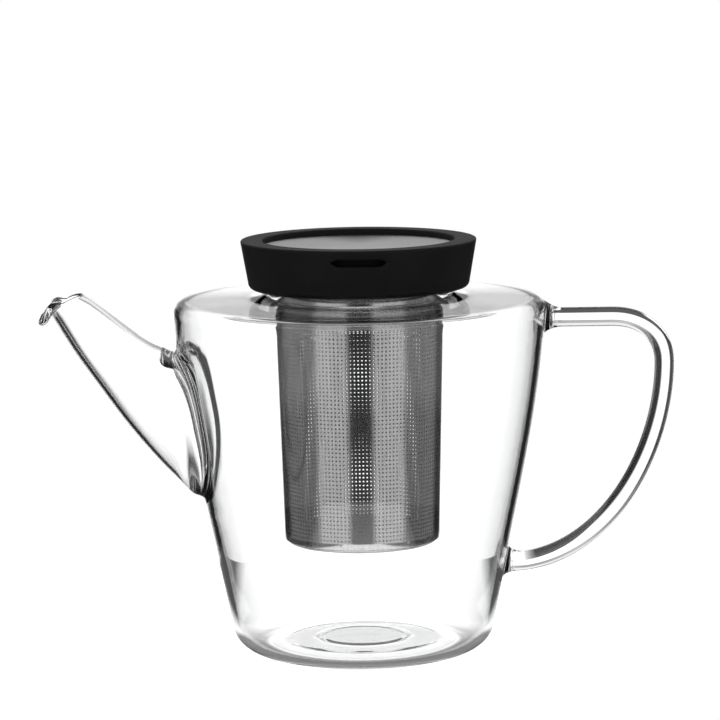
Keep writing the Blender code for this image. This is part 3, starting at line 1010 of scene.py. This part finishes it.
@dataclass
class Strainer:
    """The steel strainer: a drilled tube, a pressed cup, spot welds and a rolled flange."""

    columns: int = 132
    rows: int = 54
    hole_radius: float = 0.36 * MM
    sheet: float = 0.4 * MM
    foot: float = 39.5 * MM
    first_hole: float = 42.2 * MM
    shoulder: float = 118.0 * MM
    top: float = 129.0 * MM
    foot_radius: float = 27.2 * MM
    shoulder_radius: float = 29.35 * MM
    neck_radius: float = 28.8 * MM
    neck_step: float = 3.0 * MM
    corners: int = 8
    welds: int = 7
    segments: int = 160

    def build_wall(self, finish: Finish) -> Piece:
        """Makes the drilled tube.

        Args:
            finish: the steel.

        Returns:
            The tube's object.
        """
        heights = np.linspace(self.first_hole, self.shoulder, self.rows + 1)
        taper = (self.shoulder_radius - self.foot_radius) / (self.shoulder - self.foot)
        radii = self.foot_radius + (heights - self.foot) * taper
        skin = Skin()
        (outer, outer_holes), (inner, inner_holes) = (
            self.drilled_layer(skin, heights, radii - inset) for inset in (0.0, self.sheet)
        )
        onward = np.roll(outer_holes, -1, axis=-1)
        inner_onward = np.roll(inner_holes, -1, axis=-1)
        skin.fill(np.stack([outer_holes, onward, inner_onward, inner_holes], -1))
        above = [
            (self.shoulder_radius, self.shoulder + 0.3 * MM),
            (self.neck_radius, self.shoulder + self.neck_step),
            (self.neck_radius, self.top - 0.2 * MM),
            (self.neck_radius - self.sheet / 2, self.top),
            (self.neck_radius - self.sheet, self.top - 0.2 * MM),
            (self.neck_radius - self.sheet, self.shoulder + self.neck_step),
            (self.shoulder_radius - self.sheet, self.shoulder + 0.3 * MM),
        ]
        below = [
            (self.foot_radius + 0.03 * MM, self.foot + 0.3 * MM),
            (self.foot_radius - self.sheet / 2, self.foot),
            (self.foot_radius - self.sheet, self.foot + 0.3 * MM),
        ]
        for line, start, end in ((above, outer[-1], inner[-1]), (below, outer[0], inner[0])):
            skin.weave(np.concatenate([start[None], self.rings(skin, line), end[None]]))
        return skin.build("strainer_tube", finish, crease=40.0)

    def rings(self, skin: Skin, line: list[tuple[float, float]]) -> Array:
        """Adds a ring of vertices for each point of a line."""
        angles = circle(self.columns)
        radii, heights = (np.array(values)[:, None] for values in zip(*line))
        return skin.add(polar(radii, angles, heights + 0 * angles))

    def drilled_layer(self, skin: Skin, heights: Array, radii: Array) -> tuple:
        """Adds one face of the drilled sheet.

        Args:
            skin: the tube's skin.
            heights: the heights of the lines between the rows of holes.
            radii: the radius at each of them.

        Returns:
            The indices of the cells' corners, as (line, column), and of the holes' edges, as
            (row, column, corner).
        """
        step = math.tau / self.columns
        grid = self.rings(skin, list(zip(radii, heights)))
        turn = (np.arange(self.corners) + 0.5) * math.tau / self.corners
        middle = (heights[:-1] + heights[1:]) / 2
        about = (radii[:-1] + radii[1:]) / 2
        slope = (radii[1:] - radii[:-1]) / (heights[1:] - heights[:-1])
        offset_up = self.hole_radius * np.sin(turn)
        radius = about[:, None, None] + slope[:, None, None] * offset_up
        angle = (np.arange(self.columns)[None, :, None] + 0.5) * step
        angle = angle + self.hole_radius * np.cos(turn) / about[:, None, None]
        height = middle[:, None, None] + offset_up + 0 * angle
        holes = skin.add(polar(radius, angle, height))
        low, high = grid[:-1], grid[1:]
        corner = [np.roll(high, -1, axis=1), high, low, np.roll(low, -1, axis=1)]
        for quarter in range(4):
            first = holes[..., 2 * quarter]
            second = holes[..., 2 * quarter + 1]
            third = holes[..., (2 * quarter + 2) % self.corners]
            here, onward = corner[quarter], corner[(quarter + 1) % 4]
            skin.fill(np.stack([here, second, first], -1))
            skin.fill(np.stack([here, onward, third, second], -1))
        return grid, holes

    def build_cup(self, finish: Finish) -> Piece:
        """Makes the pressed cup that closes the tube's foot."""
        radius = self.foot_radius - 0.8 * MM
        bottom = 38.4 * MM
        sheet = 0.5 * MM
        top = bottom + 3.4 * MM
        bead = 17.0 * MM
        corners = [
            (0.0, bottom, 0.0), (bead - 1.6 * MM, bottom, 1.2 * MM), (bead, bottom + 0.55 * MM, 1.2 * MM),
            (bead + 1.6 * MM, bottom, 1.2 * MM), (radius, bottom, 1.1 * MM), (radius, top, 0.2 * MM),
            (radius - sheet, top, 0.2 * MM), (radius - sheet, bottom + sheet, 0.7 * MM),
            (bead + 1.6 * MM, bottom + sheet, 1.0 * MM), (bead, bottom + sheet + 0.55 * MM, 1.0 * MM),
            (bead - 1.6 * MM, bottom + sheet, 1.0 * MM), (0.0, bottom + sheet, 0.0),
        ]
        return turned("strainer_cup", finish, self.segments, corners)

    def build_flange(self, finish: Finish) -> Piece:
        """Makes the rolled flange that hangs the strainer in the neck."""
        seat = 129.3 * MM
        sheet = 0.6 * MM
        collar = self.neck_radius - 0.8 * MM
        foot = seat - 8.5 * MM
        outside = 35.8 * MM
        corners = [
            (collar, foot, 0.2 * MM), (collar, seat, 0.15 * MM), (outside - 1.2 * MM, seat, 0.4 * MM),
            (outside - 0.6 * MM, seat - 0.45 * MM, 0.4 * MM), (outside, seat - 0.1 * MM, 0.35 * MM),
            (outside, seat + sheet, 0.5 * MM), (collar - sheet, seat + sheet, 1.1 * MM),
            (collar - sheet, foot, 0.2 * MM),
        ]
        return turned("strainer_flange", finish, self.segments, corners, closed=True)

    def build_welds(self, finish: Finish) -> Piece:
        """Makes the small spot welds that hold the cup in the tube."""
        skin = Skin()
        rings, points = 4, 16
        height = 41.4 * MM
        for weld in range(self.welds):
            angle = math.radians(-105.6 + weld * 360 / self.welds)
            outward = np.array([math.cos(angle), math.sin(angle), 0.0])
            across = np.array([-math.sin(angle), math.cos(angle), 0.0])
            middle = outward * (self.foot_radius + 0.02 * MM) + np.array([0.0, 0.0, height])
            turn = circle(points)
            layers = []
            for ring in range(rings + 1):
                share = ring / rings
                radius = 0.55 * MM * math.cos(share * math.pi / 2 * 0.9)
                lift = 0.10 * MM * math.sin(share * math.pi / 2 * 0.9)
                flat = np.cos(turn)[:, None] * across + np.sin(turn)[:, None] * np.array([0.0, 0.0, 1.0])
                layers.append(middle + outward * lift + flat * radius)
            grid = skin.add(np.array(layers))
            skin.weave(grid)
            skin.cap(grid[-1], middle + outward * 0.102 * MM)
            skin.cap(grid[0], middle - outward * 0.1 * MM)
        return skin.build("strainer_spot_welds", finish)

    def build(self, finish: Finish) -> None:
        """Makes every piece of the strainer."""
        for make, *nodes in (
            (self.build_wall, "strainer_wall"), (self.build_cup, "strainer_base"),
            (self.build_flange, "strainer_rim"), (self.build_welds,),
        ):
            settle(make(finish), Body.STRAINER, Slot.STRAINER_STEEL, *nodes)


# ---- the lid


@dataclass
class Lid:
    """The lid: a moulded black shell with a steam slot, a brushed disc, a plug and its seal."""

    segments: int = 192
    fineness: int = 4
    top: float = 144.7 * MM
    bottom: float = 127.8 * MM
    top_radius: float = 41.2 * MM
    bottom_radius: float = 38.65 * MM
    hem: float = 2.1 * MM
    skirt: float = 2.4 * MM
    rim: float = 1.6 * MM
    recess_radius: float = 33.6 * MM
    recess_depth: float = 3.1 * MM
    plate: float = 2.0 * MM
    ring_inner: float = 32.2 * MM
    ring_outer: float = 35.2 * MM
    ring_foot: float = 130.2 * MM
    slot_height: float = 140.4 * MM
    slot_half_width: float = 9.65 * MM
    slot_half_height: float = 1.3 * MM
    slot_point: float = 2.1 * MM
    slot_soften: float = 0.22 * MM
    slot_cells: tuple = (20, 4)

    def skirt_radius(self, height: float) -> float:
        """The skirt's outer radius at a height."""
        slope = (self.top_radius - self.bottom_radius) / (self.top - self.bottom)
        return self.bottom_radius + (height - self.bottom) * slope

    def outline(self) -> tuple[Array, slice, slice]:
        """The shell's outline, loop-free from axis to axis.

        Returns:
            The fine points, and the rows of the skirt's inner and outer face.
        """
        fine = self.fineness
        plate_top = self.top - self.recess_depth
        plate_foot = plate_top - self.plate
        under_rim = self.top - self.rim
        inner_foot = self.bottom_radius - self.skirt
        inner_top = self.skirt_radius(under_rim) - self.skirt
        edge = 0.55 * MM
        inner_face = straight((inner_top, under_rim), (inner_foot, self.bottom), 14 * fine)
        hem = arc((self.bottom_radius - self.hem, self.bottom + self.hem), self.hem, -90, 0, 8 * fine)
        outer_top = self.top - edge
        outer_face = straight(hem[-1], np.array([self.skirt_radius(outer_top), outer_top]), 14 * fine)
        outer_edge = arc((self.skirt_radius(outer_top) - edge, outer_top), edge, 0, 90, 5 * fine)
        inner_edge = arc((self.recess_radius + edge, outer_top), edge, 90, 180, 5 * fine)

        def run(*points: tuple[float, float]) -> Array:
            """A rounded line through points, sampled to whole cells."""
            line = rounded([(*point, 0.25 * MM) for point in points], closed=False)
            return np.concatenate([straight(a, b, fine)[:-1] for a, b in zip(line, line[1:])] + [line[-1:]])

        under = run(
            (0.0, plate_foot), (self.ring_inner, plate_foot), (self.ring_inner, self.ring_foot),
            (self.ring_outer, self.ring_foot), (self.ring_outer, under_rim), tuple(inner_face[0]),
        )
        top = straight(outer_edge[-1], inner_edge[0], 6 * fine)
        recess = run(tuple(inner_edge[-1]), (self.recess_radius, plate_top), (0.0, plate_top))
        hem_foot = straight(inner_face[-1], hem[0], fine)
        lines = (under, inner_face, hem_foot, hem, outer_face, outer_edge, top, inner_edge, recess)
        rows = rows_of(lines, fine)
        return chain(*lines), rows[1], rows[4]

    def slot_edge(self, wall: TurnedWall, rows: slice, count: int, grow: float) -> Array:
        """The steam slot's edge on one face of the skirt.

        Args:
            wall: the turned shell.
            rows: the rows of the face.
            count: how many points it has.
            grow: how much larger than the slot it is.

        Returns:
            (angle, distance along the outline) of each point.
        """
        wide = self.slot_half_width + grow
        high = self.slot_half_height + grow
        point = self.slot_point
        corners = np.array([
            (wide, 0.0), (wide - point, high), (point - wide, high), (-wide, 0.0),
            (point - wide, -high), (wide - point, -high), (wide, 0.0),
        ])
        run = walked(corners)
        at = np.arange(count) * run[-1] / count
        across, up = (np.interp(at, run, corners[:, axis]) for axis in (0, 1))
        return wall.around(rows, -math.pi / 2, across, self.slot_height + up)

    def build_shell(self, finish: Finish) -> Piece:
        """Makes the moulded shell with its steam slot.

        Args:
            finish: the black plastic.

        Returns:
            The shell's object.
        """
        fine, inner_rows, outer_rows = self.outline()
        wall = TurnedWall(fine, self.fineness, self.segments)
        front = -self.segments // 4
        outer_block = wall.edge(front, wall.row_near(self.slot_height, outer_rows), *self.slot_cells, 1)
        inner_block = wall.edge(front, wall.row_near(self.slot_height, inner_rows), *self.slot_cells, -1)
        skin = Skin()
        rings = wall.turn(skin, outer_block, inner_block)
        count = len(rings[0])
        soften = self.slot_soften
        outer_faces = wall.ease(outer_block[1], self.slot_edge(wall, outer_rows, count, soften), 3)
        inner_faces = wall.ease(inner_block[1], self.slot_edge(wall, inner_rows, count, 0.1 * MM), 3)
        mouth = wall.at(self.slot_edge(wall, outer_rows, count, 0.0))
        back = wall.at(self.slot_edge(wall, inner_rows, count, 0.0))
        depth = mouth + unit(back - mouth) * soften
        bend = outer_faces[-1] * 0.3 + mouth * 0.7 + (depth - mouth) * 0.3
        near_back = back + unit(mouth - back) * 0.15 * MM
        walls = np.stack([bend, depth, mouth * 0.5 + back * 0.5, near_back])
        places = skin.add(np.concatenate([outer_faces, walls, inner_faces[::-1]]))
        skin.weave(np.concatenate([rings[0][None], places, rings[1][None]]))
        return skin.build("lid_shell_moulded", finish)

    def build_disc(self, finish: Finish) -> Piece:
        """Makes the brushed disc."""
        low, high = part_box("lid_top_disc")
        radius = high.x
        corners = [
            (0.0, low.z, 0.0), (radius, low.z, 0.15 * MM), (radius, high.z, 0.28 * MM), (0.0, high.z, 0.0),
        ]
        line = rounded(corners, closed=False)
        filler = [np.array([share * radius, high.z]) for share in (0.8, 0.6, 0.4, 0.2, 0.05)]
        line = np.concatenate([line[:-1], filler, line[-1:]])
        skin = Skin()
        skin.turn(line, self.segments)
        return skin.build("lid_disc", finish)

    def build_plug(self, finish: Finish) -> Piece:
        """Makes the plug that enters the strainer."""
        low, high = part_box("lid_plug")
        seal_low, seal_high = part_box("lid_seal_ring")
        radius = high.x
        groove = radius - 1.2 * MM
        sheet = 1.0 * MM
        gap = 0.3 * MM
        corners = [
            (0.0, low.z, 0.0), (radius, low.z, 1.0 * MM), (radius, seal_low.z - gap, 0.3 * MM),
            (groove, seal_low.z - gap, 0.15 * MM), (groove, seal_high.z + gap, 0.15 * MM),
            (radius, seal_high.z + gap, 0.3 * MM), (radius, high.z, 0.2 * MM),
            (groove - sheet, high.z, 0.2 * MM), (groove - sheet, low.z + sheet, 0.5 * MM),
            (0.0, low.z + sheet, 0.0),
        ]
        return turned("lid_plug_spun", finish, self.segments, corners)

    def build_seal(self, finish: Finish) -> Piece:
        """Makes the silicone seal with its two lips."""
        low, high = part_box("lid_seal_ring")
        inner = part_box("lid_plug")[1].x - 0.9 * MM
        middle = (low.z + high.z) / 2
        lip = 0.9 * MM
        corners = [
            (inner, low.z, 0.15 * MM), (high.x, low.z, 0.4 * MM), (high.x, middle - lip / 2, 0.3 * MM),
            (high.x - 0.5 * MM, middle, 0.3 * MM), (high.x, middle + lip / 2, 0.3 * MM),
            (high.x, high.z, 0.4 * MM), (inner, high.z, 0.15 * MM),
        ]
        return turned("lid_seal", finish, self.segments, corners, closed=True)

    def build(self, black: Finish, disc: Finish, steel: Finish, silicone: Finish) -> None:
        """Makes every piece of the lid."""
        settle(self.build_shell(black), Body.LID, Slot.BLACK_LID, "lid_shell")
        settle(self.build_disc(disc), Body.LID, Slot.BRUSHED_STEEL, "lid_top_disc")
        settle(self.build_plug(steel), Body.LID, Slot.STRAINER_STEEL, "lid_plug")
        settle(self.build_seal(silicone), Body.LID, Slot.SILICONE, "lid_seal_ring")


# ---- the studio


@dataclass
class Studio:
    """A white sweep, a tent of light and dark panels, and the camera."""

    eye: tuple[float, float, float] = (0.0, -1.16237, 0.26735)
    target: tuple[float, float, float] = (0.0, 0.0, 0.10197)
    lens: float = 167.69
    roll: float = 0.8
    surround: float = 0.3
    floor_radius: float = 0.15
    floor_thickness: float = 2.0 * MM
    floor_light: float = 0.85
    tent_radius: float = 1.9
    # painted shade on the floor, seen only by rays other than the camera's: dark wings begin past the strip,
    # and a painted contact shadow ring lies under the pot's front edge
    strip: float = 57 * MM
    strip_fade: float = 12 * MM
    painted_wing_shade: float = 0.04
    contact_shadow: float = 44 * MM
    contact_shadow_edges: tuple[float, float] = (8 * MM, 12 * MM)
    contact_shadow_fade: float = 25 * MM
    contact_shadow_level: float = 0.20

    def camera(self) -> Piece:
        """Makes the camera."""
        eye = Vector(self.eye)
        forward = (Vector(self.target) - eye).normalized()
        right = forward.cross(Vector((0.0, 0.0, 1.0))).normalized()
        up = right.cross(forward)
        turn = math.radians(self.roll)
        x_axis = right * math.cos(turn) - up * math.sin(turn)
        y_axis = right * math.sin(turn) + up * math.cos(turn)
        data = bpy.data.cameras.new("camera")
        data.sensor_width = 36.0
        data.lens = self.lens
        made = bpy.data.objects.new("camera", data)
        basis = Matrix((x_axis, y_axis, -forward)).transposed().to_4x4()
        made.matrix_world = Matrix.Translation(eye) @ basis
        bpy.context.scene.collection.objects.link(made)
        bpy.context.scene.camera = made
        return made

    def world(self) -> None:
        """Makes the white surroundings."""
        world = bpy.data.worlds.new("white_sweep")
        world.use_nodes = True
        tree = world.node_tree
        tree.nodes.clear()
        path = tree.nodes.new("ShaderNodeLightPath")
        seen = tree.nodes.new("ShaderNodeMapRange")
        seen.inputs["To Min"].default_value = self.surround
        light = tree.nodes.new("ShaderNodeBackground")
        light.inputs["Color"].default_value = (1.0, 1.0, 1.0, 1.0)
        end = tree.nodes.new("ShaderNodeOutputWorld")
        tree.links.new(path.outputs["Is Camera Ray"], seen.inputs["Value"])
        tree.links.new(seen.outputs["Result"], light.inputs["Strength"])
        tree.links.new(light.outputs[0], end.inputs["Surface"])
        bpy.context.scene.world = world

    def glow(self, facing: Array, height: Array) -> Array:
        """How bright the tent is.

        Args:
            facing: the angles in degrees from the camera's side of the pot, from 0 to 180.
            height: the heights above the floor.

        Returns:
            The brightness, as (height, angle).
        """
        angles = (0, 15, 20, 60, 68, 125, 135, 160, 167, 180)
        rows = (
            (-0.75, (0.10, 0.10, 0.30, 0.30, 0.10, 0.10, 0.02, 0.02, 0.10, 0.10)),
            (-0.60, (0.03, 0.03, 0.80, 0.80, 0.24, 0.24, 0.02, 0.02, 1.35, 1.35)),
            (0.25, (0.03, 0.03, 0.80, 0.80, 0.24, 0.24, 0.02, 0.02, 1.35, 1.35)),
            (0.35, (0.25, 0.25, 0.50, 0.50, 0.30, 0.30, 0.10, 0.30, 0.60, 0.30)),
            (0.75, (0.25, 0.25, 0.50, 0.50, 0.30, 0.30, 0.20, 0.30, 0.60, 0.40)),
            (0.95, (0.95,) * len(angles)),
        )
        around = np.array([np.interp(facing, angles, levels) for _, levels in rows])
        heights = [row[0] for row in rows]
        return np.stack([np.interp(height, heights, around[:, i]) for i in range(len(facing))], -1)

    def tent(self, camera: Piece) -> None:
        """Hangs the tent's panels round the pot, fixed to the camera like a rig.

        Args:
            camera: the camera that the panels go with.
        """
        segments = 180
        levels = np.array([-2.5, -1.2, -0.75, -0.6, -0.3, 0.0, 0.25, 0.35, 0.55, 0.75, 0.95, 1.4, 1.9])
        facing = circle(segments)
        ring = np.stack([np.sin(facing), -np.cos(facing)], -1) * self.tent_radius
        skin = Skin()
        grid = np.stack([np.concatenate([ring, np.full((segments, 1), level)], -1) for level in levels])
        skin.weave(skin.add(grid))
        graph = Graph("tent_panels")
        level = graph.node("ShaderNodeAttribute", {"attribute_name": "glow"})
        light = graph.node("ShaderNodeEmission", Strength=level.outputs["Fac"])
        graph.set(graph.output, "Surface", light.outputs[0])
        made = skin.build("tent", graph.material)
        off_axis = np.degrees(np.minimum(facing, math.tau - facing))
        shine = self.glow(off_axis, levels).ravel()
        attribute = made.data.attributes.new("glow", "FLOAT", "POINT")
        attribute.data.foreach_set("value", shine.astype(np.float32))
        made.visible_camera = False
        made.parent = camera
        made.matrix_parent_inverse = camera.matrix_world.inverted()

    def floor(self) -> None:
        """Lays the round white floor, with painted shade in its wings and a painted contact shadow, seen by
        every ray but the camera's.
        """
        skin = Skin()
        edge, foot = self.floor_radius, -self.floor_thickness
        skin.turn(np.array([(0.0, foot), (edge, foot), (edge, 0.0), (0.0, 0.0)]), 96)
        graph = Graph("white_floor")
        clouds = graph.noise(graph.place(), 6.0, detail=2.0)
        parts = graph.node("ShaderNodeSeparateXYZ", Vector=graph.place())
        sideways = graph.math("ABSOLUTE", parts.outputs[0])
        # painted shade: past the strip the floor is darkened for every ray but the camera's, so it shows dark
        # only through the glass and in reflections
        strip = graph.span(sideways, 1.0, self.painted_wing_shade, self.strip, self.strip + self.strip_fade)
        reach = graph.node("ShaderNodeVectorMath", {"operation": "LENGTH"})
        graph.set(reach, 0, graph.place())
        # painted contact shadow: a dark ring round the pot's front edge, for every ray but the camera's
        from_ring = graph.math("ABSOLUTE", graph.math("SUBTRACT", reach.outputs["Value"], self.contact_shadow))
        behind = graph.span(parts.outputs[1], 0.0, 1.0, 0.0, self.contact_shadow_fade)
        ring = graph.span(from_ring, self.contact_shadow_level, 1.0, *self.contact_shadow_edges)
        contact_shadow = graph.math("MAXIMUM", ring, behind)
        seen = graph.node("ShaderNodeLightPath").outputs["Is Camera Ray"]
        level = graph.math("MAXIMUM", graph.math("MULTIPLY", strip, contact_shadow), seen)
        white = graph.ramp(clouds, (0.0, grey(0.90)), (1.0, grey(0.94)))
        base = graph.node("ShaderNodeVectorMath", {"operation": "SCALE"}, Scale=level)
        graph.set(base, 0, white)
        graph.principled(
            Base_Color=base.outputs[0],
            Roughness=0.06,
            IOR=1.25,
            Emission_Color=(1.0, 1.0, 1.0, 1.0),
            Emission_Strength=graph.math("MULTIPLY", level, self.floor_light),
        )
        made = skin.build("floor", graph.material)
        made.data.shade_flat()

    def build(self) -> None:
        """Sets up the whole studio."""
        camera = self.camera()
        self.world()
        self.tent(camera)
        self.floor()
        scene = bpy.context.scene
        scene.view_settings.view_transform = "Standard"
        scene.cycles.max_bounces = 64
        scene.cycles.transmission_bounces = 64
        scene.cycles.transparent_max_bounces = 16


def main() -> None:
    """Builds the studio, the glass pot, the strainer and the lid."""
    logging.basicConfig(level=logging.INFO, format="%(message)s")
    Studio().build()
    steel = DrilledSteel().build()
    settle(
        GlassPot().build(BlownGlass().build()),
        Body.POT, Slot.GLASS, "glass_body", "glass_spout", "glass_handle",
    )
    Strainer().build(steel)
    Lid().build(MouldedBlack().build(), BrushedDisc().build(), steel, Silicone().build())


if __name__ == "__main__":
    main()
